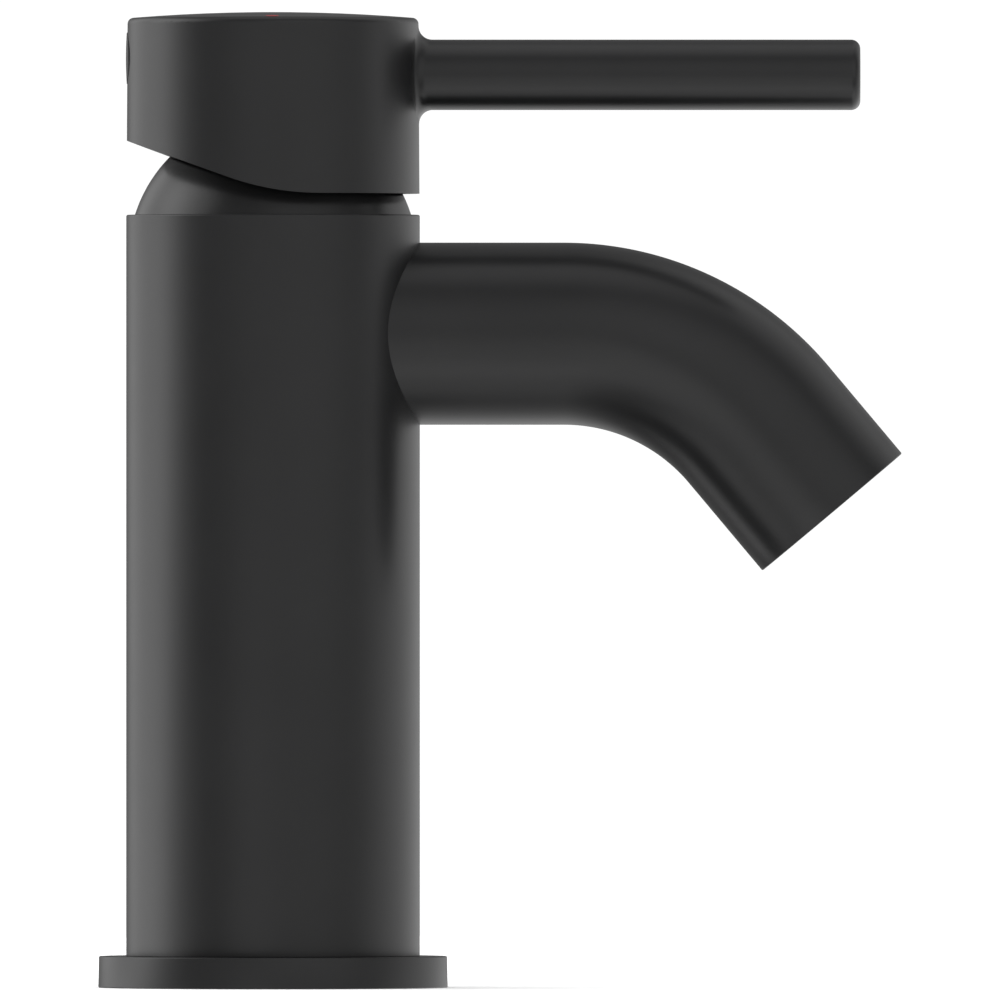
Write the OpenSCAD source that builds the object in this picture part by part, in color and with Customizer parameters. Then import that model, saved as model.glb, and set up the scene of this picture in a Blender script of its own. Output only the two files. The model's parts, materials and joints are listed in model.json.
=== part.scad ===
// Single-lever basin mixer faucet with a pin lever, a short bent spout and a 35 mm ceramic cartridge.
// Millimetres. +Z is up and the deck is at z = 0. The column's axis is the Z axis.
// +X points along the spout and the lever, and -Y is the hot side.

/* [Column] */
// Outside diameter of the column
body_d = 45.2; // [43:0.1:60]
// Height of the column's top edge above the deck
body_top_z = 118.9; // [110:0.1:260]
// Wall of the column around the cartridge
upper_wall = 3; // [2.4:0.1:3.6]
// Wall of the column below the waterway core
lower_wall = 3.9; // [3.7:0.1:4.6]
// Bevel on the column's visible edges
body_edge = 0.2; // [0.1:0.05:0.5]

/* [Base] */
// How far the base ring stands out beyond the column
base_ledge = 4.3; // [3.9:0.05:12]
// Thickness of the base ring
base_ring_h = 4.8; // [3.6:0.1:10]
// Bevel on the base ring's edges
base_edge = 0.25; // [0.1:0.05:0.6]
// Height of the seal set into the base ring's underside
base_seal_h = 2; // [1:0.1:2.4]

/* [Spout] */
// Outside diameter of the spout
spout_d = 28.05; // [27:0.05:34]
// Wall of the spout
spout_wall = 2.7; // [2.5:0.1:3]
// Depth of the spout's axis below the column's top
spout_depth = 18.3; // [18:0.1:30]
// Distance from the column's axis to the start of the bend
spout_run = 44.65; // [36:0.05:90]
// Radius of the bend at the spout's axis
spout_bend_r = 39.5; // [24:0.05:60]
// Angle that the spout turns down through
spout_bend_angle = 50; // [20:1:80]
// Straight length after the bend
spout_end_len = 17.6; // [16:0.1:40]
// Radius of the water passage through the column's wall
spout_passage_r = 8; // [5:0.1:9]

/* [Handle] */
// Gap between the column's top and the handle's skirt
hub_gap = 3.25; // [2:0.05:5]
// Height of the handle's hub from its skirt to its rim
hub_h = 27; // [26:0.05:34]
// Draft of the hub's side from skirt to rim
hub_draft = 0.15; // [0:0.01:0.4]
// Rise of the crowned top above the hub's rim
hub_crown = 0.95; // [0.5:0.05:3]
// Radius of the hub's rounded top edge
hub_edge_r = 0.95; // [0.3:0.05:1.2]
// Angle of the relief cut at the back of the skirt
skirt_cut_angle = 20; // [14:0.5:22]
// Where the relief cut's slope would meet the skirt's bottom edge
skirt_cut_x = -0.1; // [-3:0.1:3]
// Radius that blends the relief cut into the skirt
skirt_cut_r = 42; // [10:1:60]
// Diameter of the lever
lever_d = 10.85; // [7:0.05:12.8]
// Height of the lever's axis above the skirt
lever_rise = 18.3; // [17:0.1:19]
// Distance from the column's axis to the lever's tip
lever_reach = 90.4; // [60:0.1:140]
// Rounding of the lever's tip
lever_tip_r = 1.4; // [0.4:0.1:3]
// Radius of the hollow that flares the lever out to its foot
lever_flare_r = 2.1; // [1:0.1:2.4]
// Height of the set screw's axis above the skirt
screw_rise = 20.85; // [18:0.05:21]
// Diameter of the cap over the set screw
screw_cap_d = 8; // [6.5:0.1:9.6]
// Diameter of each index dot
dot_d = 2; // [1:0.1:3]

/* [Dome cap] */
// Depth of the tilt pivot, which is the dome's centre, below the column's top
pivot_depth = 6.7; // [6:0.1:7.5]
// Step between the column's side and the dome's sphere
dome_inset = 0.3; // [0.1:0.05:0.5]
// Wall of the dome cap
dome_wall = 1.2; // [0.8:0.1:1.5]
// Radius of the dome's top opening
dome_open_r = 13.5; // [13:0.1:14.5]
// Gap between the dome and the handle's inside
dome_gap = 0.55; // [0.3:0.05:0.8]

/* [Cartridge] */
// Outside diameter of the cartridge
cart_d = 35; // [34:0.1:36]
// Height of the tilt pivot above the cartridge's seat
cart_pivot_h = 28.2; // [27:0.1:34]
// Wall of the cartridge's housing
cart_wall = 1.9; // [1.5:0.1:2]
// Largest tilt of the stem when the lever is lifted
lift_max = 25; // [15:1:25]
// Depth of the stem's ball below the pivot
stem_ball_drop = 12; // [11.6:0.1:12.4]
// Section of the stem along X
stem_x = 7; // [6:0.1:7]
// Section of the stem along Y
stem_y = 8; // [6:0.1:8.2]
// Length of the stem above the pivot
stem_up = 34.3; // [33.6:0.1:34.4]
// Diameter of the pivot pin
pin_d = 3; // [2:0.1:3.5]

/* [Water inlets and fixing] */
// Height of the waterway core
core_h = 22; // [20:0.5:40]
// Radius of the inlet thread's wall, for an M10x1 hose tail
inlet_r = 4.5; // [4:0.1:5]
// Depth of the inlet thread
inlet_len = 12; // [8:0.5:14]
// Distance of the inlets in front of the column's axis
inlet_x = 3; // [2:0.1:4]
// Distance of each inlet to the side of the column's axis
inlet_y = 8.5; // [8:0.1:9]
// Radius of the hose passages through the mounting insert
hose_hole_r = 6.75; // [6:0.05:7.2]
// Radius of the fixing stud's thread wall, for M8
stud_r = 3.4; // [2.5:0.1:4]
// Distance of the stud behind the column's axis
stud_back = 11.5; // [10:0.1:13]
// Height of the mounting insert's plug above the base ring
insert_plug_h = 10; // [6:0.5:20]

/* [Hidden] */
$fn = 96;

// Clearances: loose parts, close parts and rubber in its groove
gap = 0.1;
close_gap = 0.03;
ring_gap = 0.05;
// Running clearances of the stem on its pin and of the stem's guide in the housing
pin_gap = 0.05;
run_gap = 0.08;
// Overlap of cutting shapes past the faces that they cut
over = 1;

// Column
body_r = body_d / 2;
upper_r = body_r - upper_wall;
lower_r = body_r - lower_wall;
pivot_z = body_top_z - pivot_depth;
seat_z = pivot_z - cart_pivot_h;
core_z = seat_z - core_h;

// Base
ring_r = body_r + base_ledge;
spigot_r = body_r - 2;
seal_r1 = spigot_r + 2.1;
seal_r2 = ring_r - 1.4;
insert_top_z = base_ring_h + insert_plug_h;

// Spout
spout_r = spout_d / 2;
spout_bore_r = spout_r - spout_wall;
spout_z = body_top_z - spout_depth;
bend_end_x = spout_run + spout_bend_r * sin(spout_bend_angle);
bend_end_z = spout_z - spout_bend_r * (1 - cos(spout_bend_angle));
spout_edge = 0.2;
// The bend is slimmer than the straights by this much and they run this far into it
bend_slim = 0.01;
bend_lap = 0.02;

// Aerator, measured back from the spout's end along its axis
aerator_wall = 1.9;
aerator_r = spout_r - aerator_wall;
aerator_recess = 1.2;
aerator_len = 9.3;
aerator_bore_r = aerator_r - 1.7;
aerator_back = aerator_recess + aerator_len;
gasket_t = 1.5;
regulator_r = 0.62 * aerator_bore_r;
grid_pitch = 2.4;
grid_hex_r = 1.2;
grid_rings = ceil(aerator_bore_r / grid_pitch);

// Dome and handle
dome_r = body_r - dome_inset;
cavity_r = dome_r + dome_gap;
hub_r = body_r - 0.05;
hub_top_r = hub_r - hub_draft;
skirt_z = body_top_z + hub_gap;
rim_z = skirt_z + hub_h;
crown_r = (hub_top_r * hub_top_r + hub_crown * hub_crown) / (2 * hub_crown);
crown_z = rim_z + hub_crown - crown_r;
lever_r = lever_d / 2;
lever_z = skirt_z + lever_rise;
foot_r = lever_r + lever_flare_r;
foot_x = sqrt(hub_r * hub_r - foot_r * foot_r) - 0.3;
foot_rim_x = hub_r - 0.1;
shank_hole_r = 3;
shank_x = 12.5;
screw_z = skirt_z + screw_rise;
screw_r = 2.5;
screw_len = 9;
screw_tip_x = stem_x / 2 - 0.5;
cap_r = screw_cap_d / 2;
cap_depth = 2.6;
cap_crown = 0.2;
dot_r = dot_d / 2;
dot_at_r = hub_top_r - 2.1;
dot_t = 0.45;

// Cartridge, from its seat upwards
cart_r = cart_d / 2;
cart_in_r = cart_r - cart_wall;
base_flange_t = 2.2;
base_t = 4.6;
gasket_z = seat_z + base_t;
disc_z = gasket_z + 0.8;
disc_t = 3.6;
mover_z = disc_z + disc_t;
carrier_z = mover_z + disc_t;
carrier_t = 5.4;
ball_z = pivot_z - stem_ball_drop;
ball_r = 3;
shank_r = 2.2;
shank_drop = 4.5;
travel = stem_ball_drop * sin(lift_max);
mover_r = cart_in_r - travel / 2 - 0.35;
mover_x = -travel / 2;
port_r = 3;
port_y = inlet_y - 1;
outlet_x = -8.5;
outlet_r = 3.8;
guide_z = carrier_z + carrier_t + 0.4;
guide_flange_z = pivot_z - 5;
guide_top_z = pivot_z + 5.2;
neck_r = 10.8;
glide_t = 0.6;
shoulder_z = pivot_z - 3.2;
shoulder_t = 1.1;
housing_top_z = pivot_z + 4;
housing_neck_r = 13.3;
limit_r = 15.6;

// Retaining nut
nut_r = upper_r - 0.15;
nut_bore_r = limit_r + 0.6;
nut_top_z = body_top_z - 1;
collar_r = body_r - 4.9;
collar_h = 4;
nut_groove_z = shoulder_z + 0.9;
oring_r = 0.85;
groove_h = 2.1;

module ring(r1, r2, z1, z2) {
    rotate_extrude()
        translate([r1, z1])
            square([r2 - r1, z2 - z1]);
}

// A ring with a bevel on both outer edges
module beveled_ring(r1, r2, z1, z2, e) {
    rotate_extrude()
        polygon([[r1, z1], [r2 - e, z1], [r2, z1 + e], [r2, z2 - e], [r2 - e, z2], [r1, z2]]);
}

module oring(r, z, section_r) {
    translate([0, 0, z])
        rotate_extrude()
            translate([r, 0])
                circle(section_r, $fn = 32);
}

// Its children, copied to the hot side and to the cold side
module both_sides() {
    for (side = [-1, 1])
        scale([1, side, 1])
            children();
}

module at_inlets() {
    for (side = [-1, 1])
        translate([inlet_x, side * inlet_y, 0])
            children();
}

module at_ports() {
    for (side = [-1, 1])
        translate([inlet_x, side * port_y, 0])
            children();
}

// Puts its children on the spout's last straight stretch, with z = 0 at the end face and +z outwards
module at_spout_end() {
    translate([bend_end_x, 0, bend_end_z])
        rotate([0, 90 + spout_bend_angle, 0])
            translate([0, 0, spout_end_len])
                children();
}

module body_shell() {
    color("#2f2f31")
        difference() {
            rotate_extrude()
                polygon([
                    [lower_r, base_ring_h],
                    [body_r, base_ring_h],
                    [body_r, body_top_z - body_edge],
                    [body_r - body_edge, body_top_z],
                    [upper_r + body_edge, body_top_z],
                    [upper_r, body_top_z - body_edge],
                    [upper_r, core_z],
                    [lower_r, core_z]
                ]);
            translate([0, 0, spout_z])
                rotate([0, 90, 0])
                    cylinder(r = spout_passage_r, h = body_r + over);
        }
}

module base_ring() {
    color("#2f2f31")
        rotate_extrude()
            polygon([
                [spigot_r + gap, 0],
                [seal_r1, 0],
                [seal_r1, base_seal_h],
                [seal_r2, base_seal_h],
                [seal_r2, 0],
                [ring_r - base_edge, 0],
                [ring_r, base_edge],
                [ring_r, base_ring_h - base_edge],
                [ring_r - base_edge, base_ring_h],
                [spigot_r + gap, base_ring_h]
            ]);
}

module base_seal() {
    color("#1c1c1c")
        ring(seal_r1 + gap, seal_r2 - gap, 0, base_seal_h);
}

// Brass plug that closes the column's foot, with the stud's thread and the hose passages
module mounting_insert() {
    color("#b9974f")
        difference() {
            union() {
                cylinder(r = spigot_r, h = base_ring_h);
                cylinder(r = lower_r - close_gap, h = insert_top_z);
            }
            translate([-stud_back, 0, -over])
                cylinder(r = stud_r, h = insert_top_z + 2 * over);
            translate([0, 0, -over])
                at_inlets()
                    cylinder(r = hose_hole_r, h = insert_top_z + 2 * over);
        }
}

// The spout's path as a solid: a straight, the bend and the last straight, which runs on by more
module spout_path(r, more) {
    translate([0, 0, spout_z])
        rotate([0, 90, 0])
            cylinder(r = r, h = spout_run + bend_lap);
    translate([spout_run, 0, spout_z - spout_bend_r])
        rotate([-90, 0, 0])
            rotate([0, 0, -90])
                rotate_extrude(angle = spout_bend_angle)
                    translate([spout_bend_r, 0])
                        circle(r - bend_slim);
    at_spout_end()
        translate([0, 0, -spout_end_len - bend_lap])
            cylinder(r = r, h = spout_end_len + bend_lap + more);
}

// The spout's root is cut to the column's round side
module spout_tube() {
    color("#2f2f31")
        difference() {
            union() {
                spout_path(spout_r, -spout_edge);
                at_spout_end()
                    translate([0, 0, -spout_edge])
                        cylinder(r1 = spout_r, r2 = spout_r - spout_edge, h = spout_edge);
            }
            spout_path(spout_bore_r, over);
            at_spout_end()
                translate([0, 0, -aerator_back - gasket_t])
                    cylinder(r = aerator_r + ring_gap, h = aerator_back + gasket_t + over);
            translate([0, 0, spout_z - spout_r - over])
                cylinder(r = body_r, h = spout_d + 2 * over);
        }
}

// Brass block that carries the cartridge's seat, the two inlets and the groove that leads mixed water out
module waterway_core() {
    groove_z = core_z + core_h / 2 - groove_h / 2;
    color("#b9974f")
        difference() {
            translate([0, 0, core_z])
                cylinder(r = upper_r - close_gap, h = core_h);
            ring(upper_r - 2 * oring_r - ring_gap, upper_r + over, groove_z, groove_z + groove_h);
            at_inlets()
                translate([0, 0, core_z - over])
                    cylinder(r = inlet_r, h = inlet_len + over);
            at_ports()
                translate([0, 0, core_z + inlet_len - over])
                    cylinder(r = port_r, h = core_h);
            translate([-body_r, -outlet_r, seat_z - 4])
                cube([body_r + outlet_x, 2 * outlet_r, 4 + over]);
            translate([outlet_x, 0, seat_z - 4])
                cylinder(r = outlet_r, h = 4 + over);
            both_sides()
                translate([-1, cart_r - 3.2, seat_z - 3])
                    cylinder(r = 1.9 + gap, h = 3 + over);
        }
}

module core_oring() {
    color("#1c1c1c")
        oring(upper_r - oring_r - ring_gap / 2, core_z + core_h / 2, oring_r);
}

module cartridge_base() {
    color("#e8e6df")
        difference() {
            union() {
                translate([0, 0, seat_z])
                    cylinder(r = cart_r - gap, h = base_flange_t);
                translate([0, 0, seat_z])
                    cylinder(r = cart_in_r - gap, h = base_t);
                both_sides()
                    translate([-1, cart_r - 3.2, seat_z - 2.6])
                        cylinder(r = 1.9, h = 2.6 + over);
                for (side = [-1, 1])
                    translate([side > 0 ? cart_in_r - 2 : 0.8 - cart_r, -2.8, seat_z + 3])
                        cube([cart_wall + 1.2, 5.6, 1.2]);
            }
            at_ports() {
                translate([0, 0, seat_z - over])
                    cylinder(r = port_r, h = base_t + 2 * over);
                translate([0, 0, seat_z - over])
                    cylinder(r = port_r + 1.6, h = over + 1.4);
            }
            translate([outlet_x, 0, seat_z - over])
                cylinder(r = outlet_r, h = base_t + 2 * over);
        }
}

module port_seals() {
    color("#1c1c1c")
        at_ports()
            ring(port_r + ring_gap, port_r + 1.6 - ring_gap, seat_z, seat_z + 1.4);
}

// Silicone plate between the cartridge's base and the fixed disc
module disc_gasket() {
    color("#8a3b2e")
        difference() {
            translate([0, 0, gasket_z])
                cylinder(r = cart_in_r - 0.8, h = disc_z - gasket_z);
            at_ports()
                translate([0, 0, gasket_z - over])
                    cylinder(r = port_r, h = 2 * over + 1);
            translate([outlet_x, 0, gasket_z - over])
                cylinder(r = outlet_r, h = 2 * over + 1);
        }
}

module fixed_disc() {
    color("#f4f2ea")
        difference() {
            translate([0, 0, disc_z])
                cylinder(r = cart_in_r - 0.3, h = disc_t);
            at_ports()
                translate([0, 0, disc_z - over])
                    cylinder(r = port_r, h = disc_t + 2 * over);
            translate([outlet_x, 0, disc_z - over])
                cylinder(r = outlet_r, h = disc_t + 2 * over);
        }
}

// The mixing pocket in its underside joins the outlet to the inlets once the disc slides forward
module moving_disc() {
    pocket_front = inlet_x - port_r - 1;
    pocket_back = pocket_front - 9.6;
    color("#f4f2ea")
        difference() {
            translate([mover_x, 0, mover_z])
                cylinder(r = mover_r, h = disc_t);
            translate([0, 0, mover_z - over])
                linear_extrude(over + 2)
                    intersection() {
                        translate([pocket_back, -port_y - 1.2])
                            square([pocket_front - pocket_back, 2 * port_y + 2.4]);
                        translate([mover_x, 0])
                            circle(mover_r - 1.6);
                    }
        }
}

// Drives the moving disc from the stem's ball
module disc_carrier() {
    color("#3d6ea5")
        difference() {
            translate([mover_x, 0, carrier_z])
                cylinder(r = mover_r - 0.8, h = carrier_t);
            translate([0, 0, carrier_z + 0.3])
                cylinder(r = ball_r + 0.2, h = carrier_t);
        }
}

// Section of the slot that the stem swings in, with the pivot at the origin
module stem_slot_profile() {
    half = stem_x / 2 + 0.35;
    lean = tan(lift_max);
    high = guide_top_z - pivot_z + over;
    low = pivot_z - guide_z + over;
    polygon([
        [half, high],
        [half, 0.8],
        [half + 1.2 + lean * (shank_drop + 0.5) * 0.7, -shank_drop - 0.5],
        [max(half + 2, travel + ball_r + 0.4), -low],
        [-half, -low],
        [-half, -0.8],
        [-half - 0.6 - lean * high, high]
    ]);
}

module stem_guide() {
    color("#f0efe9")
        difference() {
            union() {
                translate([0, 0, guide_z])
                    cylinder(r = cart_in_r - 0.3, h = guide_flange_z - guide_z);
                translate([0, 0, guide_z])
                    cylinder(r = neck_r, h = guide_top_z - guide_z);
            }
            translate([0, stem_y / 2 + 0.15, pivot_z])
                rotate([90, 0, 0])
                    linear_extrude(stem_y + 0.3)
                        stem_slot_profile();
            translate([0, body_r, pivot_z])
                rotate([90, 0, 0])
                    cylinder(r = pin_d / 2 + close_gap, h = body_d);
        }
}

module pivot_pin() {
    color("#c4c6c8")
        translate([0, neck_r - 0.3, pivot_z])
            rotate([90, 0, 0])
                cylinder(r = pin_d / 2, h = 2 * (neck_r - 0.3));
}

module glide_ring() {
    color("#d9d9d4")
        ring(neck_r + 0.4, cart_in_r - 0.6, guide_flange_z + ring_gap, guide_flange_z + glide_t);
}

module cartridge_housing() {
    color("#26262a")
        difference() {
            rotate_extrude()
                polygon([
                    [cart_in_r, seat_z + base_flange_t],
                    [cart_r, seat_z + base_flange_t],
                    [cart_r, shoulder_z],
                    [housing_neck_r, shoulder_z],
                    [housing_neck_r, housing_top_z],
                    [neck_r + run_gap, housing_top_z],
                    [neck_r + run_gap, shoulder_z - shoulder_t],
                    [cart_in_r, shoulder_z - shoulder_t]
                ]);
            translate([-cart_r - over, -3, seat_z + 2.9])
                cube([cart_d + 2 * over, 6, 1.4]);
        }
}

// Toothed ring that sets how far the handle turns towards hot
module hot_limit_ring() {
    teeth = 30;
    color("#c23a31")
        difference() {
            ring(housing_neck_r + ring_gap, limit_r, shoulder_z + 3, housing_top_z);
            for (i = [0 : teeth - 1])
                rotate([0, 0, i * 360 / teeth])
                    translate([limit_r - 0.6, -0.5, housing_top_z - 1.6])
                        cube([2, 1, 3]);
        }
}

module retaining_nut() {
    slots = 4;
    color("#b9974f")
        difference() {
            union() {
                ring(nut_bore_r, nut_r, shoulder_z, nut_top_z);
                ring(nut_bore_r, collar_r, shoulder_z, body_top_z + collar_h);
            }
            ring(
                upper_r - 2 * oring_r - ring_gap,
                upper_r + over,
                nut_groove_z,
                nut_groove_z + groove_h
            );
            for (i = [0 : slots - 1])
                rotate([0, 0, 45 + i * 360 / slots])
                    translate([nut_bore_r - over, -2, body_top_z + collar_h - 2.2])
                        cube([body_r, 4, 4]);
        }
}

module nut_oring() {
    color("#1c1c1c")
        oring(upper_r - oring_r - ring_gap / 2, nut_groove_z + groove_h / 2, oring_r);
}

// Black ball-shaped cover between the column and the handle, held on the nut's collar
module dome_cap() {
    color("#2b2b2d")
        difference() {
            intersection() {
                translate([0, 0, pivot_z])
                    sphere(dome_r, $fn = 128);
                translate([0, 0, body_top_z])
                    cylinder(r = body_r, h = dome_r);
            }
            difference() {
                translate([0, 0, pivot_z])
                    sphere(dome_r - dome_wall, $fn = 128);
                ring(collar_r + gap, body_r, body_top_z - over, body_top_z + 2.3);
            }
            translate([0, 0, pivot_z])
                cylinder(r = dome_open_r, h = dome_r);
        }
}

module cartridge_stem() {
    color("#c9b27a")
        difference() {
            union() {
                translate([-stem_x / 2, -stem_y / 2, pivot_z - shank_drop])
                    cube([stem_x, stem_y, shank_drop + stem_up]);
                translate([0, 0, ball_z])
                    cylinder(r = shank_r, h = stem_ball_drop);
                translate([0, 0, ball_z])
                    sphere(ball_r, $fn = 64);
            }
            translate([0, body_r, pivot_z])
                rotate([90, 0, 0])
                    cylinder(r = pin_d / 2 + pin_gap, h = body_d);
            translate([-screw_tip_x, 0, screw_z])
                rotate([0, -90, 0])
                    cylinder(r = screw_r + gap, h = over);
        }
}

// Half section of the hub: drafted side, rounded rim and crowned top
module hub_profile() {
    corner_x = hub_top_r - hub_edge_r;
    corner_z = crown_z + sqrt(pow(crown_r - hub_edge_r, 2) - pow(corner_x, 2));
    lean = asin(corner_x / (crown_r - hub_edge_r));
    touch_x = corner_x + hub_edge_r * sin(lean);
    touch_z = corner_z + hub_edge_r * cos(lean);
    polygon([
        [0, skirt_z],
        [hub_r, skirt_z],
        [hub_top_r, corner_z],
        [corner_x, corner_z],
        [touch_x, touch_z],
        [0, touch_z]
    ]);
    intersection() {
        translate([0, crown_z])
            circle(crown_r, $fn = 720);
        translate([0, touch_z])
            square([touch_x, 2 * hub_crown]);
    }
    intersection() {
        translate([corner_x, corner_z])
            circle(hub_edge_r, $fn = 64);
        translate([corner_x, corner_z])
            square(2 * hub_edge_r);
    }
}

// Side view of what the relief cut takes off the back of the skirt
module skirt_cut_profile() {
    reach = body_d;
    blend_x = skirt_cut_x + skirt_cut_r * tan(skirt_cut_angle / 2);
    steps = 12;
    arc = [
        for (i = [0 : steps])
            let (a = skirt_cut_angle * i / steps)
                [blend_x - skirt_cut_r * sin(a), skirt_z + skirt_cut_r * (1 - cos(a))]
    ];
    polygon(concat(arc, [
        [-reach, skirt_z + (reach + skirt_cut_x) * tan(skirt_cut_angle)],
        [-reach, skirt_z - over],
        [blend_x, skirt_z - over]
    ]));
}

// A round pin shape for an index dot, square to the crowned top
module dot_shape(side, r, depth, proud) {
    translate([0, 0, crown_z])
        rotate([-side * asin(dot_at_r / crown_r), 0, 0])
            translate([0, 0, crown_r - depth])
                cylinder(r = r, h = depth + proud, $fn = 48);
}

module handle_hub() {
    color("#2f2f31")
        difference() {
            rotate_extrude()
                hub_profile();
            translate([0, body_d, 0])
                rotate([90, 0, 0])
                    linear_extrude(2 * body_d)
                        skirt_cut_profile();
            translate([0, 0, pivot_z])
                sphere(cavity_r, $fn = 128);
            translate([-stem_x / 2 - gap, -stem_y / 2 - gap, pivot_z])
                cube([stem_x + 2 * gap, stem_y + 2 * gap, stem_up + 0.3]);
            translate([foot_x, 0, lever_z])
                rotate([0, 90, 0])
                    cylinder(r = foot_r + close_gap, h = over + 1);
            translate([shank_x - 1, 0, lever_z])
                rotate([0, 90, 0])
                    cylinder(r = shank_hole_r, h = body_r);
            translate([0, 0, screw_z])
                rotate([0, -90, 0])
                    cylinder(r = screw_r, h = body_d);
            translate([-hub_r + cap_depth, 0, screw_z])
                rotate([0, -90, 0])
                    cylinder(r = cap_r + ring_gap, h = body_r);
            for (side = [-1, 1])
                dot_shape(side, dot_r + close_gap, dot_t + close_gap, over);
        }
}

// Round pin with a screwed shank, a flared foot set into the hub's side and a rounded tip
module lever() {
    color("#2f2f31")
        translate([0, 0, lever_z])
            rotate([0, 90, 0])
                rotate_extrude() {
                    polygon([
                        [0, shank_x],
                        [shank_hole_r - 0.5, shank_x],
                        [shank_hole_r - close_gap, shank_x + 0.5],
                        [shank_hole_r - close_gap, foot_x],
                        [lever_r, foot_x],
                        [lever_r, lever_reach - lever_tip_r],
                        [lever_r - lever_tip_r, lever_reach - lever_tip_r],
                        [lever_r - lever_tip_r, lever_reach],
                        [0, lever_reach]
                    ]);
                    difference() {
                        translate([0, foot_x])
                            square([foot_r, foot_rim_x + lever_flare_r - foot_x]);
                        translate([foot_r, foot_rim_x + lever_flare_r])
                            circle(lever_flare_r, $fn = 96);
                    }
                    translate([lever_r - lever_tip_r, lever_reach - lever_tip_r])
                        intersection() {
                            circle(lever_tip_r, $fn = 96);
                            square(2 * lever_tip_r);
                        }
                }
}

module set_screw() {
    color("#8d8f92")
        translate([-screw_tip_x, 0, screw_z])
            rotate([0, -90, 0])
                difference() {
                    rotate_extrude()
                        polygon([
                            [0, 0],
                            [screw_r - 0.8, 0],
                            [screw_r - close_gap, 0.8],
                            [screw_r - close_gap, screw_len - 0.3],
                            [screw_r - 0.3, screw_len],
                            [0, screw_len]
                        ]);
                    translate([0, 0, screw_len - 3])
                        cylinder(r = 1.45, h = 3 + over, $fn = 6);
                }
}

// Push-in cap with a slightly crowned face and a spigot in the screw's hole
module screw_cap() {
    face_r = (cap_r * cap_r + cap_crown * cap_crown) / (2 * cap_crown);
    face_x = hub_r + 0.1;
    color("#2f2f31")
        translate([0, 0, screw_z])
            rotate([0, -90, 0]) {
                intersection() {
                    translate([0, 0, hub_r - cap_depth + ring_gap])
                        cylinder(r = cap_r, h = 2 * cap_depth);
                    translate([0, 0, face_x - face_r])
                        sphere(face_r, $fn = 512);
                }
                translate([0, 0, hub_r - cap_depth - 3])
                    cylinder(r = screw_r - ring_gap, h = 3 + 0.5);
            }
}

module index_dot(side) {
    dot_shape(side, dot_r, dot_t, 0.05);
}

module hot_index_dot() {
    color("#a8323a")
        index_dot(-1);
}

module cold_index_dot() {
    color("#2f57a4")
        index_dot(1);
}

module aerator_housing() {
    notches = 8;
    color("#3a3a3c")
        at_spout_end()
            difference() {
                rotate_extrude()
                    polygon([
                        [aerator_bore_r, -aerator_back],
                        [aerator_r, -aerator_back],
                        [aerator_r, -aerator_recess - 0.3],
                        [aerator_r - 0.3, -aerator_recess],
                        [aerator_bore_r - 0.5, -aerator_recess],
                        [aerator_bore_r - 0.5, -aerator_recess - 1],
                        [aerator_bore_r, -aerator_recess - 1]
                    ]);
                for (i = [0 : notches - 1])
                    rotate([0, 0, i * 360 / notches])
                        translate([aerator_bore_r - 1, -0.8, -aerator_recess - 0.7])
                            cube([1.7, 1.6, 2]);
            }
}

module aerator_gasket() {
    color("#1c1c1c")
        at_spout_end()
            ring(aerator_bore_r - 0.4, aerator_r - ring_gap, -aerator_back - gasket_t, -aerator_back);
}

// Plate with a ring of drillings around the regulator's seat
module jet_breaker() {
    jets = 20;
    inner_jets = 12;
    color("#e4e4df")
        at_spout_end()
            difference() {
                translate([0, 0, -aerator_recess - 6])
                    cylinder(r = aerator_bore_r - gap, h = 2);
                for (i = [0 : jets - 1])
                    rotate([0, 0, i * 360 / jets])
                        translate([aerator_bore_r - 1.7, 0, -aerator_recess - 7])
                            cylinder(r = 0.6, h = 4, $fn = 24);
                for (i = [0 : inner_jets - 1])
                    rotate([0, 0, i * 360 / inner_jets])
                        translate([aerator_bore_r - 4.1, 0, -aerator_recess - 7])
                            cylinder(r = 0.6, h = 4, $fn = 24);
            }
}

module flow_regulator() {
    color("#7fae5a")
        at_spout_end()
            difference() {
                translate([0, 0, -aerator_back])
                    cylinder(r = regulator_r, h = aerator_len - 6 - ring_gap);
                ring(
                    regulator_r - 1.6,
                    regulator_r + over,
                    -aerator_back + 0.7,
                    -aerator_back + 2.4
                );
                translate([0, 0, -aerator_back - over])
                    cylinder(r = 1.6, h = aerator_len);
            }
}

module regulator_oring() {
    color("#1c1c1c")
        at_spout_end()
            oring(regulator_r - 0.8, -aerator_back + 1.55, 0.75);
}

// Honeycomb outlet screen
module aerator_grid() {
    color("#55565a")
        at_spout_end()
            translate([0, 0, -aerator_recess - 2.6])
                linear_extrude(1.6 - ring_gap)
                    difference() {
                        circle(aerator_bore_r - gap);
                        for (row = [-grid_rings : grid_rings])
                            for (col = [-grid_rings : grid_rings]) {
                                x = grid_pitch * (col + row / 2);
                                y = grid_pitch * row * sin(60);
                                if (norm([x, y]) < aerator_bore_r - 1.9)
                                    translate([x, y])
                                        rotate(30)
                                            circle(grid_hex_r, $fn = 6);
                            }
                    }
}

body_shell();
base_ring();
base_seal();
mounting_insert();
spout_tube();
waterway_core();
core_oring();
cartridge_base();
port_seals();
disc_gasket();
fixed_disc();
moving_disc();
disc_carrier();
stem_guide();
pivot_pin();
glide_ring();
cartridge_housing();
hot_limit_ring();
retaining_nut();
nut_oring();
dome_cap();
cartridge_stem();
handle_hub();
lever();
set_screw();
screw_cap();
hot_index_dot();
cold_index_dot();
aerator_housing();
aerator_gasket();
flow_regulator();
regulator_oring();
jet_breaker();
aerator_grid();
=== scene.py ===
import json
import math

import bmesh
import bpy
from mathutils import Matrix, Vector


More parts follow.
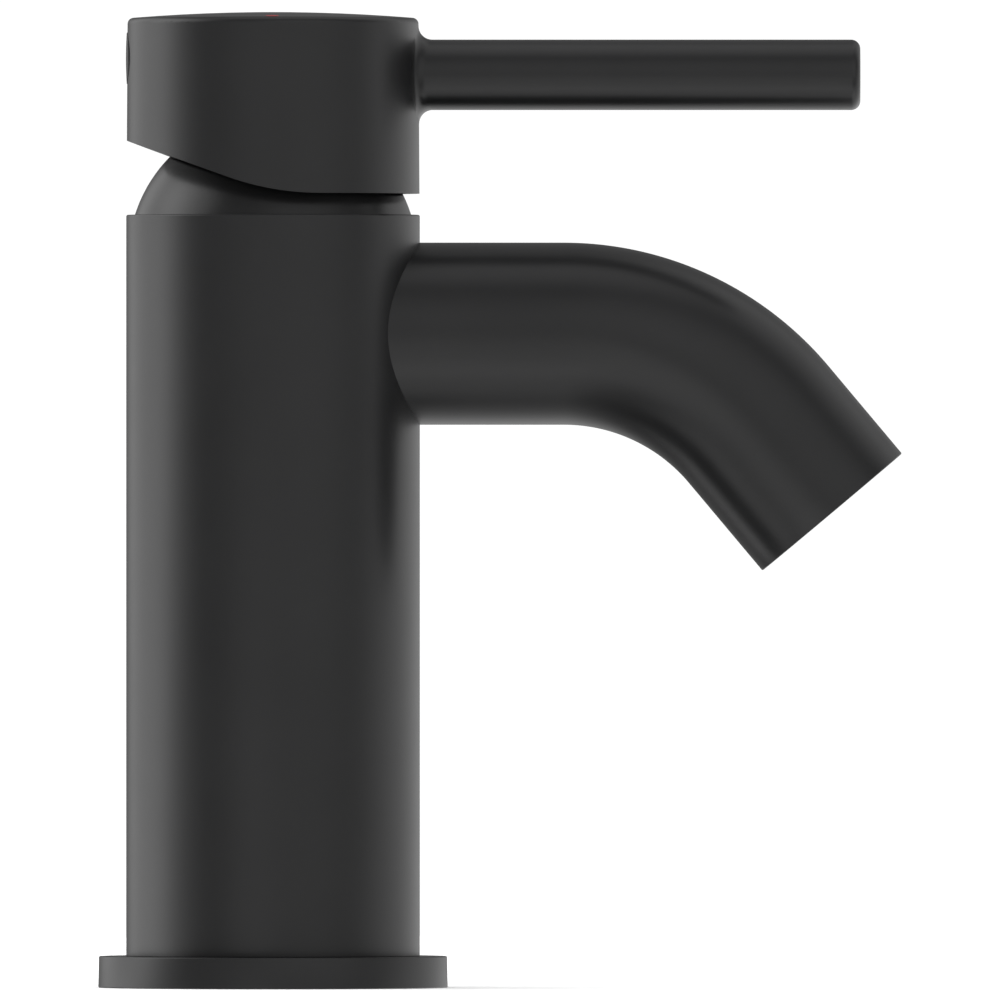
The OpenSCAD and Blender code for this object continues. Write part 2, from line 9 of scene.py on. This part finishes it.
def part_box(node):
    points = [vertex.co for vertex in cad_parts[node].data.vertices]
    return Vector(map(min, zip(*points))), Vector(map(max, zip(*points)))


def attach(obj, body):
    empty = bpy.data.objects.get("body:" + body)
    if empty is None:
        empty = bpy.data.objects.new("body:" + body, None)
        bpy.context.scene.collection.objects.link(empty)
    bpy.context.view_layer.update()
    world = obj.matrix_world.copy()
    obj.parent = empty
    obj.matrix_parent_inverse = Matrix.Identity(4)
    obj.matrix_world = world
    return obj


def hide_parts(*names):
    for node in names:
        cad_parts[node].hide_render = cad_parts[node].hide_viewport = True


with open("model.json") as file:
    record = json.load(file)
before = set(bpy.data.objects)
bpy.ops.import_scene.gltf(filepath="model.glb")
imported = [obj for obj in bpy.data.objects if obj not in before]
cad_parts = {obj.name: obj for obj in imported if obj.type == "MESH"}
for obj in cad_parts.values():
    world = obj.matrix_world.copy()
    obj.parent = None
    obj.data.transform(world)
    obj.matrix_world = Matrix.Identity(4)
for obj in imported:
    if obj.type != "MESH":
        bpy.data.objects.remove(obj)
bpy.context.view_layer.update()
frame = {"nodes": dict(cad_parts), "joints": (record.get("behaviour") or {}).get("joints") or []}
MM = 0.001


# ---------------------------------------------------------------- sizes read from the CAD nodes
def lo_hi(node):
    """The lowest and the highest corner of a CAD node at rest."""
    lo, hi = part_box(node)
    return Vector(lo), Vector(hi)


_, column_hi = lo_hi("body_shell")
BODY_R = column_hi.x
BODY_TOP = column_hi.z
_, ring_hi = lo_hi("base_ring")
RING_R = ring_hi.x
RING_H = ring_hi.z
hub_lo, hub_hi = lo_hi("handle_hub")
HUB_R = hub_hi.x
SKIRT_Z = hub_lo.z
lever_lo, lever_hi = lo_hi("lever")
LEVER_Z = (lever_lo.z + lever_hi.z) / 2
LEVER_TIP = lever_hi.x
FOOT_R = (lever_hi.z - lever_lo.z) / 2
spout_lo, spout_hi = lo_hi("spout_tube")
SPOUT_R = spout_hi.y
SPOUT_Z = spout_hi.z - SPOUT_R
cap_lo, cap_hi = lo_hi("screw_cap")
CAP_Z = (cap_lo.z + cap_hi.z) / 2
CAP_R = (cap_hi.y - cap_lo.y) / 2
PIVOT_Z = next(j for j in frame["joints"] if j["name"] == "lift")["pos_m"][2]


# ---------------------------------------------------------------- mesh helpers
AROUND = 256  # segments of the large round pieces


def link(name, bm, smooth_deg=32):
    """A mesh object from bm, smooth shaded, with its folds sharper than smooth_deg kept crisp."""
    bmesh.ops.recalc_face_normals(bm, faces=bm.faces)
    me = bpy.data.meshes.new(name)
    bm.to_mesh(me)
    bm.free()
    me.shade_smooth()
    me.set_sharp_from_angle(angle=math.radians(smooth_deg))
    ob = bpy.data.objects.new(name, me)
    bpy.context.scene.collection.objects.link(ob)
    return ob


def rounded(points, radii, step_deg=11):
    """A polyline with each inner corner rounded by an arc of its radius. Corners are (r, z) pairs."""
    out = []
    n = len(points)
    for i, p in enumerate(points):
        p = Vector(p)
        rad = radii.get(i, 0)
        if not rad or i in (0, n - 1):
            out.append(p)
            continue
        a = (Vector(points[i - 1]) - p).normalized()
        b = (Vector(points[i + 1]) - p).normalized()
        half = a.angle(b) / 2
        run = rad / math.tan(half)
        start, end = p + a * run, p + b * run
        centre = p + (a + b).normalized() * (rad / math.sin(half))
        u, v = start - centre, end - centre
        sweep = u.angle_signed(v)
        steps = max(2, math.ceil(abs(math.degrees(sweep)) / step_deg))
        for k in range(steps + 1):
            t = -sweep * k / steps
            c, s = math.cos(t), math.sin(t)
            out.append(centre + Vector((u.x * c - u.y * s, u.x * s + u.y * c)))
    return [(q.x, q.y) for q in out]


def revolve(bm, profile, segments, place=Matrix(), closed=False):
    """Turns a profile of (radius, height) pairs about local Z. A point on the axis becomes a pole."""
    rings = []
    for r, z in profile:
        if r < 1e-7:
            rings.append([bm.verts.new(place @ Vector((0, 0, z)))])
            continue
        ring = []
        for i in range(segments):
            a = 2 * math.pi * i / segments
            ring.append(bm.verts.new(place @ Vector((r * math.cos(a), r * math.sin(a), z))))
        rings.append(ring)
    pairs = list(zip(rings, rings[1:]))
    if closed:
        pairs.append((rings[-1], rings[0]))
    for low, high in pairs:
        if len(low) == 1 and len(high) == 1:
            continue
        for i in range(segments):
            j = (i + 1) % segments
            if len(low) == 1:
                bm.faces.new((low[0], high[j], high[i]))
            elif len(high) == 1:
                bm.faces.new((low[i], low[j], high[0]))
            else:
                bm.faces.new((low[i], low[j], high[j], high[i]))
    return rings


def frame_at(origin, z_axis):
    """A placing matrix with local Z along z_axis, which isn't along Y."""
    z = Vector(z_axis).normalized()
    y = z.cross(Vector((0, 1, 0))).normalized()
    x = y.cross(z)
    m = Matrix((x, y, z)).transposed().to_4x4()
    m.translation = Vector(origin)
    return m


# ---------------------------------------------------------------- materials
def new_material(name):
    """A material, its node tree and its shader."""
    m = bpy.data.materials.new(name)
    m.use_nodes = True
    t = m.node_tree
    return m, t, t.nodes["Principled BSDF"]


def add(t, kind, **values):
    """A node of the tree t. Each value is a property of the node, or else an input's default."""
    n = t.nodes.new(kind)
    for key, value in values.items():
        if hasattr(n, key):
            setattr(n, key, value)
        else:
            n.inputs[key.replace("_", " ")].default_value = value
    return n


def noise(t, coords, scale, detail, roughness=0.55):
    """Soft noise from 0 to 1. One cell is about 1 / scale metres."""
    n = add(t, "ShaderNodeTexNoise")
    n.inputs["Scale"].default_value = scale
    n.inputs["Detail"].default_value = detail
    n.inputs["Roughness"].default_value = roughness
    t.links.new(coords, n.inputs["Vector"])
    return n.outputs["Fac"]


def ramp(t, fac, stops):
    """Maps fac through (place, grey or colour) stops."""
    n = add(t, "ShaderNodeValToRGB")
    e = n.color_ramp.elements
    while len(e) < len(stops):
        e.new(0.5)
    for item, (at, value) in zip(e, stops):
        item.position = at
        item.color = (*value, 1) if isinstance(value, tuple) else (value, value, value, 1)
    t.links.new(fac, n.inputs["Fac"])
    return n.outputs["Color"]


def bump(t, shader, height, strength, distance):
    """Fine relief on a shader: distance is its depth in metres."""
    n = add(t, "ShaderNodeBump")
    n.inputs["Strength"].default_value = strength
    n.inputs["Distance"].default_value = distance
    t.links.new(height, n.inputs["Height"])
    t.links.new(n.outputs["Normal"], shader.inputs["Normal"])


def mottle(t, socket, fac, low, high):
    """Drives a shader's socket from low to high by noise, mostly through the noise's middle."""
    t.links.new(ramp(t, fac, [(0.3, low), (0.7, high)]), socket)


def coated(name, dark, light, rough):
    """A powder or paint coat: fine grain in the bump, and slow changes of tone and roughness."""
    tone_scale, rough_scale, grain_scale = 55, 140, 2600
    grain_strength, grain_depth = 0.25, 0.02 * MM
    m, t, s = new_material(name)
    xyz = add(t, "ShaderNodeTexCoord").outputs["Object"]
    mottle(t, s.inputs["Base Color"], noise(t, xyz, tone_scale, 4), dark, light)
    mottle(t, s.inputs["Roughness"], noise(t, xyz, rough_scale, 5), *rough)
    bump(t, s, noise(t, xyz, grain_scale, 2, 0.6), grain_strength, grain_depth)
    return m


def moulded(name, dark, light, rough=(0.42, 0.55), grain_scale=1500, grain_strength=0.3):
    """Moulded plastic or rubber with a faint spark-eroded grain."""
    tone_scale, rough_scale = 120, 300
    grain_depth = 0.03 * MM
    m, t, s = new_material(name)
    xyz = add(t, "ShaderNodeTexCoord").outputs["Object"]
    mottle(t, s.inputs["Base Color"], noise(t, xyz, tone_scale, 4), dark, light)
    mottle(t, s.inputs["Roughness"], noise(t, xyz, rough_scale, 3), *rough)
    bump(t, s, noise(t, xyz, grain_scale, 2), grain_strength, grain_depth)
    return m


def turned_metal(name, dark, light):
    """Metal from a lathe: fine rings of tool marks along the column's axis, and a little tarnish."""
    tone_scale, rough_scale, rough = 90, 240, (0.2, 0.34)
    band_length, mark_pitch = 0.314, 0.35 * MM
    mark_strength, mark_depth = 0.15, 0.03 * MM
    m, t, s = new_material(name)
    xyz = add(t, "ShaderNodeTexCoord").outputs["Object"]
    w = add(t, "ShaderNodeTexWave", wave_type="BANDS", bands_direction="Z")
    w.inputs["Scale"].default_value = band_length / mark_pitch
    w.inputs["Distortion"].default_value = 1.5
    w.inputs["Detail"].default_value = 2
    t.links.new(xyz, w.inputs["Vector"])
    mottle(t, s.inputs["Base Color"], noise(t, xyz, tone_scale, 5), dark, light)
    mottle(t, s.inputs["Roughness"], noise(t, xyz, rough_scale, 4), *rough)
    bump(t, s, w.outputs["Fac"], mark_strength, mark_depth)
    s.inputs["Metallic"].default_value = 1.0
    return m


BLACK = coated("black_coat", (0.0060, 0.0060, 0.0064), (0.0078, 0.0078, 0.0082), (0.30, 0.32))
DOME_BLACK = moulded("dome_black", (0.0044, 0.0044, 0.0047), (0.0058, 0.0058, 0.0061), (0.285, 0.31))
DARK_PLASTIC = moulded("dark_plastic", (0.020, 0.020, 0.021), (0.032, 0.032, 0.034))
RUBBER = moulded("black_rubber", (0.010, 0.010, 0.010), (0.018, 0.018, 0.018), (0.6, 0.75))
RED_RUBBER = moulded("red_rubber", (0.20, 0.03, 0.02), (0.28, 0.05, 0.03), (0.55, 0.7))
WHITE_PLASTIC = moulded("white_plastic", (0.70, 0.69, 0.64), (0.78, 0.77, 0.72))
BLUE_PLASTIC = moulded("blue_plastic", (0.03, 0.10, 0.30), (0.05, 0.14, 0.38))
GREEN_PLASTIC = moulded("green_plastic", (0.12, 0.32, 0.08), (0.16, 0.40, 0.11))
RED_PLASTIC = moulded("red_plastic", (0.40, 0.02, 0.015), (0.50, 0.035, 0.025))
CERAMIC = moulded("disc_ceramic", (0.80, 0.78, 0.72), (0.86, 0.84, 0.79), (0.16, 0.24), 3000, 0.08)
BRASS = turned_metal("brass", (0.62, 0.42, 0.16), (0.74, 0.53, 0.24))
STEEL = turned_metal("steel", (0.50, 0.50, 0.50), (0.60, 0.60, 0.60))
HOT_RED = moulded("hot_red", (0.24, 0.010, 0.014), (0.30, 0.016, 0.020), (0.25, 0.35), 2000, 0.1)
COLD_BLUE = moulded("cold_blue", (0.008, 0.04, 0.24), (0.012, 0.055, 0.30), (0.25, 0.35), 2000, 0.1)

NODE_MATERIALS = {
    "base_seal": RUBBER, "core_oring": RUBBER, "port_seals": RUBBER, "nut_oring": RUBBER,
    "aerator_gasket": RUBBER, "regulator_oring": RUBBER, "disc_gasket": RED_RUBBER,
    "mounting_insert": BRASS, "waterway_core": BRASS, "retaining_nut": BRASS, "cartridge_stem": BRASS,
    "cartridge_base": WHITE_PLASTIC, "stem_guide": WHITE_PLASTIC, "glide_ring": WHITE_PLASTIC,
    "jet_breaker": WHITE_PLASTIC, "cartridge_housing": DARK_PLASTIC, "aerator_grid": DARK_PLASTIC,
    "aerator_housing": DARK_PLASTIC, "disc_carrier": BLUE_PLASTIC, "flow_regulator": GREEN_PLASTIC,
    "hot_limit_ring": RED_PLASTIC, "fixed_disc": CERAMIC, "moving_disc": CERAMIC,
    "pivot_pin": STEEL, "set_screw": STEEL, "hot_index_dot": HOT_RED, "cold_index_dot": COLD_BLUE,
}


def paint(ob, material):
    """Gives an object one material in place of its own."""
    ob.data.materials.clear()
    ob.data.materials.append(material)


for node_name, node_object in frame["nodes"].items():
    paint(node_object, NODE_MATERIALS.get(node_name, BLACK))


def piece(name, bm, node, body, material, smooth_deg=32):
    """A visible piece made from bm. It stands for a CAD node and rides on a body."""
    ob = link(name, bm, smooth_deg)
    paint(ob, material)
    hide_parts(node)
    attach(ob, body)


# ---------------------------------------------------------------- column, base ring and dome
def build_column():
    """A tube whose bore is wider above a step, the seat of the waterway core."""
    upper_r = BODY_R - 3.0 * MM
    lower_r = BODY_R - 3.9 * MM
    core_top_depth, core_h = 28.2, 22
    step_z = PIVOT_Z - (core_top_depth + core_h) * MM
    foot_edge, top_edge, bore_edge = 0.1 * MM, 0.28 * MM, 0.2 * MM
    corners = [
        (lower_r, RING_H), (BODY_R, RING_H), (BODY_R, BODY_TOP),
        (upper_r, BODY_TOP), (upper_r, step_z), (lower_r, step_z),
    ]
    profile = rounded(corners, {1: foot_edge, 2: top_edge, 3: bore_edge})
    bm = bmesh.new()
    revolve(bm, profile, AROUND, closed=True)
    piece("column", bm, "body_shell", "fixed", BLACK)


def build_base_ring():
    """A flat ring, drafted a little, with the seal's groove in its underside."""
    spigot = BODY_R - 1.9 * MM
    seal_in, seal_out = BODY_R + 0.1 * MM, RING_R - 1.4 * MM
    seal_h = lo_hi("base_seal")[1].z
    draft, foot_edge, top_edge = 0.1 * MM, 0.12 * MM, 0.2 * MM
    corners = [
        (spigot, 0), (seal_in, 0), (seal_in, seal_h), (seal_out, seal_h), (seal_out, 0),
        (RING_R, 0), (RING_R - draft, RING_H), (spigot, RING_H),
    ]
    profile = rounded(corners, {5: foot_edge, 6: top_edge})
    bm = bmesh.new()
    revolve(bm, profile, AROUND, closed=True)
    piece("base_plate", bm, "base_ring", "fixed", BLACK)


build_column()
build_base_ring()


# ---------------------------------------------------------------- spout
def spout_path():
    """The spout's run, bend radius, bend angle and end length: its box fixes the first two."""
    angle, end_len = math.radians(50), 17.6 * MM
    sin, cos = math.sin(angle), math.cos(angle)
    bend_r = (SPOUT_Z - spout_lo.z - sin * end_len - cos * SPOUT_R) / (1 - cos)
    run = spout_hi.x - cos * end_len - sin * SPOUT_R - bend_r * sin
    return run, bend_r, angle, end_len


def build_spout():
    """A bent tube: outer skin, rounded lip, the aerator's recess and the water bore."""
    run, bend_r, angle, end_len = spout_path()
    sides, straight_steps, bend_steps, end_steps = 144, 12, 50, 6
    lip_out_steps, lip_in_steps = 4, 3
    bore = SPOUT_R - 2.7 * MM
    recess = SPOUT_R - 1.85 * MM
    recess_len, bore_gap = 12 * MM, 0.5 * MM
    lip_out, lip_in = 0.22 * MM, 0.15 * MM
    root_r = BODY_R - 0.02 * MM
    pivot = Vector((run, 0, SPOUT_Z - bend_r))
    end_out = Vector((math.sin(angle), 0, math.cos(angle)))
    ahead = Vector((math.cos(angle), 0, -math.sin(angle)))
    end_start = pivot + end_out * bend_r
    end = end_start + ahead * end_len
    bm = bmesh.new()

    def ring_at(centre, out_dir, radius):
        """A ring square to the path. out_dir points to the outer side of the bend."""
        ring = []
        for i in range(sides):
            a = 2 * math.pi * i / sides
            p = centre + out_dir * (radius * math.cos(a)) + Vector((0, 1, 0)) * (radius * math.sin(a))
            ring.append(bm.verts.new(p))
        return ring

    def root_ring(radius):
        """A ring whose points lie just inside the column's round side."""
        ring = []
        for i in range(sides):
            a = 2 * math.pi * i / sides
            y, z = radius * math.sin(a), SPOUT_Z + radius * math.cos(a)
            x = math.sqrt(root_r ** 2 - y * y)
            ring.append(bm.verts.new((x, y, z)))
        return ring

    def along(radius, short):
        """Rings from the column along the spout. The last is a distance short of the spout's end."""
        line = []
        for k in range(1, straight_steps + 1):
            x = BODY_R + (run - BODY_R) * k / straight_steps
            line.append(ring_at(Vector((x, 0, SPOUT_Z)), Vector((0, 0, 1)), radius))
        for k in range(1, bend_steps + 1):
            a = angle * k / bend_steps
            out = Vector((math.sin(a), 0, math.cos(a)))
            line.append(ring_at(pivot + out * bend_r, out, radius))
        for k in range(1, end_steps + 1):
            line.append(ring_at(end_start + ahead * ((end_len - short) * k / end_steps), end_out, radius))
        return line

    def near_end(back, radius):
        """A ring at a distance back from the spout's end."""
        return ring_at(end - ahead * back, end_out, radius)

    rings = [root_ring(SPOUT_R)] + along(SPOUT_R, lip_out)
    for k in range(1, lip_out_steps + 1):
        a = math.pi / 2 * k / lip_out_steps
        rings.append(near_end(lip_out * (1 - math.sin(a)), SPOUT_R - lip_out * (1 - math.cos(a))))
    for k in range(lip_in_steps + 1):
        a = math.pi / 2 * k / lip_in_steps
        rings.append(near_end(lip_in * (1 - math.cos(a)), recess + lip_in * (1 - math.sin(a))))
    rings.append(near_end(recess_len, recess))
    rings.append(near_end(recess_len, bore))
    rings += list(reversed(along(bore, recess_len + bore_gap))) + [root_ring(bore)]
    for low, high in zip(rings, rings[1:] + rings[:1]):
        for i in range(sides):
            j = (i + 1) % sides
            bm.faces.new((low[i], low[j], high[j], high[i]))
    piece("spout", bm, "spout_tube", "fixed", BLACK, 30)


build_spout()


# ---------------------------------------------------------------- dome cap
def build_dome():
    """A part of a hollow ball round the tilt pivot, open at the top."""
    radius = BODY_R - 0.3 * MM
    inner_r = radius - 1.2 * MM
    opening = 13.5 * MM
    foot = lo_hi("dome_cap")[0].z - PIVOT_Z
    outer_steps, inner_steps = 28, 20

    def arc(r, r_from, r_to, steps):
        """Points on a circle round the pivot, between two distances from the axis."""
        pts = []
        a0, a1 = math.asin(r_from / r), math.asin(r_to / r)
        for k in range(steps + 1):
            a = a0 + (a1 - a0) * k / steps
            pts.append((r * math.sin(a), PIVOT_Z + r * math.cos(a)))
        return pts

    outer_from = math.sqrt(radius ** 2 - foot ** 2)
    inner_from = math.sqrt(inner_r ** 2 - foot ** 2)
    profile = arc(radius, outer_from, opening, outer_steps)
    profile += arc(inner_r, opening, inner_from, inner_steps)
    bm = bmesh.new()
    revolve(bm, profile, AROUND, closed=True)
    piece("dome", bm, "dome_cap", "fixed", DOME_BLACK)


build_dome()


# ---------------------------------------------------------------- lever
FLARE = 2.1 * MM
LEVER_R = FOOT_R - FLARE


def hub_radius(z):
    """Radius of the hub's drafted side at height z, with a hair's thickness of paint."""
    draft, side_h, skin = 0.15 * MM, 26 * MM, 0.008 * MM
    return HUB_R - draft * (z - SKIRT_Z) / side_h + skin


def on_hub(r, turn):
    """The point of the hub's front at a distance r from the lever's axis, turned about that axis."""
    y, z = r * math.sin(turn), LEVER_Z + r * math.cos(turn)
    return Vector((math.sqrt(hub_radius(z) ** 2 - y * y), y, z))


def flare_arc(turn, steps):
    """The hollow of radius FLARE from the hub's side to the lever, at one turn about the lever."""
    y, z = (LEVER_R + FLARE) * math.sin(turn), LEVER_Z + (LEVER_R + FLARE) * math.cos(turn)
    reach = hub_radius(z) + FLARE
    centre = Vector((math.sqrt(reach ** 2 - y * y), y, z))
    to_hub = Vector((-centre.x, -y, 0)) / reach
    to_lever = Vector((0, -math.sin(turn), -math.cos(turn)))
    return [centre + FLARE * to_hub.slerp(to_lever, k / steps) for k in range(steps + 1)]


def build_lever():
    """A pin in one piece: screwed shank, foot let into the hub, hollow flare, bar and rounded tip."""
    shank_x, shank_r, shank_nose_r, bevel = lever_lo.x, 2.97 * MM, 2.5 * MM, 0.5 * MM
    foot_x = math.sqrt(HUB_R ** 2 - FOOT_R ** 2) - 0.3 * MM
    seat_r, lap_r, sink = FOOT_R - 0.05 * MM, FOOT_R + 0.1 * MM, 0.1 * MM
    tip, tip_flat_r = 1.4 * MM, LEVER_R * 0.4
    bar_x = HUB_R + FLARE + 0.4 * MM
    around, lap_steps, flare_steps, bar_steps, tip_steps = 192, 5, 18, 24, 12

    def at(turn, r, x):
        """A point at a distance r from the lever's axis."""
        return Vector((x, r * math.sin(turn), LEVER_Z + r * math.cos(turn)))

    columns = []
    for i in range(around):
        turn = 2 * math.pi * i / around
        hollow = flare_arc(turn, flare_steps)
        touch_r = math.hypot(hollow[0].y, hollow[0].z - LEVER_Z)
        line = [at(turn, shank_nose_r, shank_x), at(turn, shank_r, shank_x + bevel)]
        line += [at(turn, shank_r, foot_x), at(turn, seat_r, foot_x)]
        line.append(on_hub(seat_r, turn) - Vector((sink, 0, 0)))
        line += [on_hub(lap_r + (touch_r - lap_r) * k / lap_steps, turn) for k in range(lap_steps)]
        line += hollow
        for k in range(bar_steps):
            line.append(at(turn, LEVER_R, bar_x + (LEVER_TIP - tip - bar_x) * k / bar_steps))
        for k in range(tip_steps + 1):
            a = math.pi / 2 * k / tip_steps
            line.append(at(turn, LEVER_R - tip * (1 - math.cos(a)), LEVER_TIP - tip * (1 - math.sin(a))))
        line.append(at(turn, tip_flat_r, LEVER_TIP))
        columns.append(line)
    bm = bmesh.new()
    verts = [[bm.verts.new(p) for p in line] for line in columns]
    ends = [bm.verts.new((shank_x, 0, LEVER_Z)), bm.verts.new((LEVER_TIP, 0, LEVER_Z))]
    for i in range(around):
        here, there = verts[i], verts[(i + 1) % around]
        for k in range(len(here) - 1):
            bm.faces.new((here[k], here[k + 1], there[k + 1], there[k]))
        bm.faces.new((ends[0], here[0], there[0]))
        bm.faces.new((here[-1], ends[1], there[-1]))
    piece("lever_pin", bm, "lever", "handle", BLACK, 30)


build_lever()


# ---------------------------------------------------------------- cap over the set screw
def build_screw_cap():
    """A push-in plug behind the hub, on a short stem. Its face is round like the hub's side, and bows."""
    face_h, stem_h, stem_r, skirt = -cap_lo.x, -cap_hi.x, 2.4 * MM, 2.0 * MM
    edge, bow = 0.15 * MM, 0.13 * MM
    around, edge_steps, face_steps = 96, 6, 16
    profile = [(0, stem_h), (stem_r, stem_h), (stem_r, face_h - skirt), (CAP_R, face_h - skirt)]
    face_from = len(profile)
    for k in range(edge_steps + 1):
        a = math.pi / 2 * k / edge_steps
        profile.append((CAP_R - edge * (1 - math.cos(a)), face_h - edge * (1 - math.sin(a))))
    for k in range(1, face_steps + 1):
        profile.append(((CAP_R - edge) * (1 - k / face_steps), face_h))
    bm = bmesh.new()
    rings = revolve(bm, profile, around, frame_at((0, 0, CAP_Z), (-1, 0, 0)))
    for ring in rings[face_from:]:
        for v in ring:
            v.co.x += v.co.y ** 2 / (2 * HUB_R) + bow * ((v.co.z - CAP_Z) / CAP_R) ** 2
    piece("set_screw_cap", bm, "screw_cap", "handle", BLACK, 40)


build_screw_cap()


# ---------------------------------------------------------------- studio
def direction(azimuth, elevation):
    """The way to a light. Azimuth 0 is in front, on the -Y side, and 90 is on the +X side."""
    a, e = math.radians(azimuth), math.radians(elevation)
    return Vector((math.sin(a) * math.cos(e), -math.cos(a) * math.cos(e), math.sin(e)))


def soft_light(t, azimuth, elevation, full, fade, strength):
    """A round soft light far off: full strength within full degrees of its middle, gone at fade degrees."""
    dot = add(t, "ShaderNodeVectorMath", operation="DOT_PRODUCT")
    dot.inputs[1].default_value = direction(azimuth, elevation)
    t.links.new(add(t, "ShaderNodeTexCoord").outputs["Generated"], dot.inputs[0])
    fall = add(t, "ShaderNodeMapRange", interpolation_type="SMOOTHSTEP")
    fall.inputs["From Min"].default_value = math.cos(math.radians(fade))
    fall.inputs["From Max"].default_value = math.cos(math.radians(full))
    fall.inputs["To Min"].default_value = 0
    fall.inputs["To Max"].default_value = strength
    t.links.new(dot.outputs["Value"], fall.inputs["Value"])
    return fall.outputs["Result"]


# Azimuth, elevation, full angle, fade angle and strength of each soft light round the faucet.
# These numbers weren't chosen by hand: a separate program fitted them to the reference picture's tones.
SOFT_LIGHTS = {
    "left_high": (270, 30, 0, 35, 1.35),
    "left_rear": (240, 15, 20, 45, 0.99),
    "left_low": (270, -30, 20, 45, 0.72),
    "left_edge": (255, -15, 0, 35, 0.32),
    "right_rear_wide": (120, -30, 10, 70, 0.85),
    "right_rear_high": (120, 45, 0, 35, 0.45),
    "rear_low": (165, -30, 0, 35, 0.33),
    "rear_high": (180, 60, 0, 35, 0.05),
    "top": (0, 90, 0, 35, 0.53),
    "front_low": (345, -30, 0, 35, 0.75),
    "front_bottom": (30, -60, 0, 35, 0.75),
    "front_right": (30, 15, 0, 50, 0.51),
    "front_left": (330, 0, 0, 35, 0.22),
    "front_high": (345, 30, 0, 35, 0.15),
}
AMBIENT = 0.2
BACKDROP = 1.05


def build_world():
    """Weak light all round plus the soft lights. The camera itself sees a white backdrop."""
    world = bpy.data.worlds.new("studio")
    bpy.context.scene.world = world
    world.use_nodes = True
    t = world.node_tree
    t.nodes.clear()
    total = None
    for values in SOFT_LIGHTS.values():
        plus = add(t, "ShaderNodeMath", operation="ADD")
        plus.inputs[1].default_value = AMBIENT
        t.links.new(soft_light(t, *values), plus.inputs[0])
        if total is not None:
            t.links.new(total, plus.inputs[1])
        total = plus.outputs[0]
    light = add(t, "ShaderNodeBackground", Color=(1, 1, 1, 1))
    t.links.new(total, light.inputs["Strength"])
    seen = add(t, "ShaderNodeBackground", Color=(1, 1, 1, 1), Strength=BACKDROP)
    mix = t.nodes.new("ShaderNodeMixShader")
    t.links.new(add(t, "ShaderNodeLightPath").outputs["Is Camera Ray"], mix.inputs[0])
    t.links.new(light.outputs[0], mix.inputs[1])
    t.links.new(seen.outputs[0], mix.inputs[2])
    out = t.nodes.new("ShaderNodeOutputWorld")
    t.links.new(mix.outputs[0], out.inputs[0])


def build_floor():
    """A sheet of white paper, a hair below the deck so that the two faces don't fight."""
    half_size, drop = 0.8, 0.05 * MM
    bm = bmesh.new()
    bmesh.ops.create_grid(bm, x_segments=1, y_segments=1, size=half_size)
    ob = link("floor", bm)
    m, t, s = new_material("floor_paper")
    xyz = add(t, "ShaderNodeTexCoord").outputs["Object"]
    mottle(t, s.inputs["Base Color"], noise(t, xyz, 30, 4), 0.90, 0.93)
    s.inputs["Roughness"].default_value = 0.8
    bump(t, s, noise(t, xyz, 900, 3), 0.1, 0.05 * MM)
    paint(ob, m)
    ob.location.z = -drop
    ob.visible_glossy = False


def build_overhead():
    """A wide soft light over the floor. It keeps out of the reflections, where the world does the work."""
    size, height, watts = 3.0, 2.0, 66
    data = bpy.data.lights.new("overhead", "AREA")
    data.shape = "DISK"
    data.size = size
    data.energy = watts
    ob = bpy.data.objects.new("overhead", data)
    bpy.context.scene.collection.objects.link(ob)
    ob.location = (0, 0, height)
    ob.visible_glossy = False
    ob.visible_camera = False


def build_camera():
    """A long lens on the hot side, level and square to the spout. It sees view_w at the column's axis."""
    lens, sensor, view_w = 1600, 36, 153.94 * MM
    middle_x, middle_z = 34.94 * MM, 75.0 * MM
    data = bpy.data.cameras.new("camera")
    data.type = "PERSP"
    data.lens = lens
    data.sensor_width = sensor
    data.clip_start = 0.1
    data.clip_end = 40
    cam = bpy.data.objects.new("camera", data)
    bpy.context.scene.collection.objects.link(cam)
    cam.location = (middle_x, -view_w * lens / sensor, middle_z)
    cam.rotation_euler = (math.radians(90), 0, 0)
    bpy.context.scene.camera = cam


build_world()
build_floor()
build_overhead()
build_camera()
bpy.context.scene.view_settings.view_transform = "Standard"
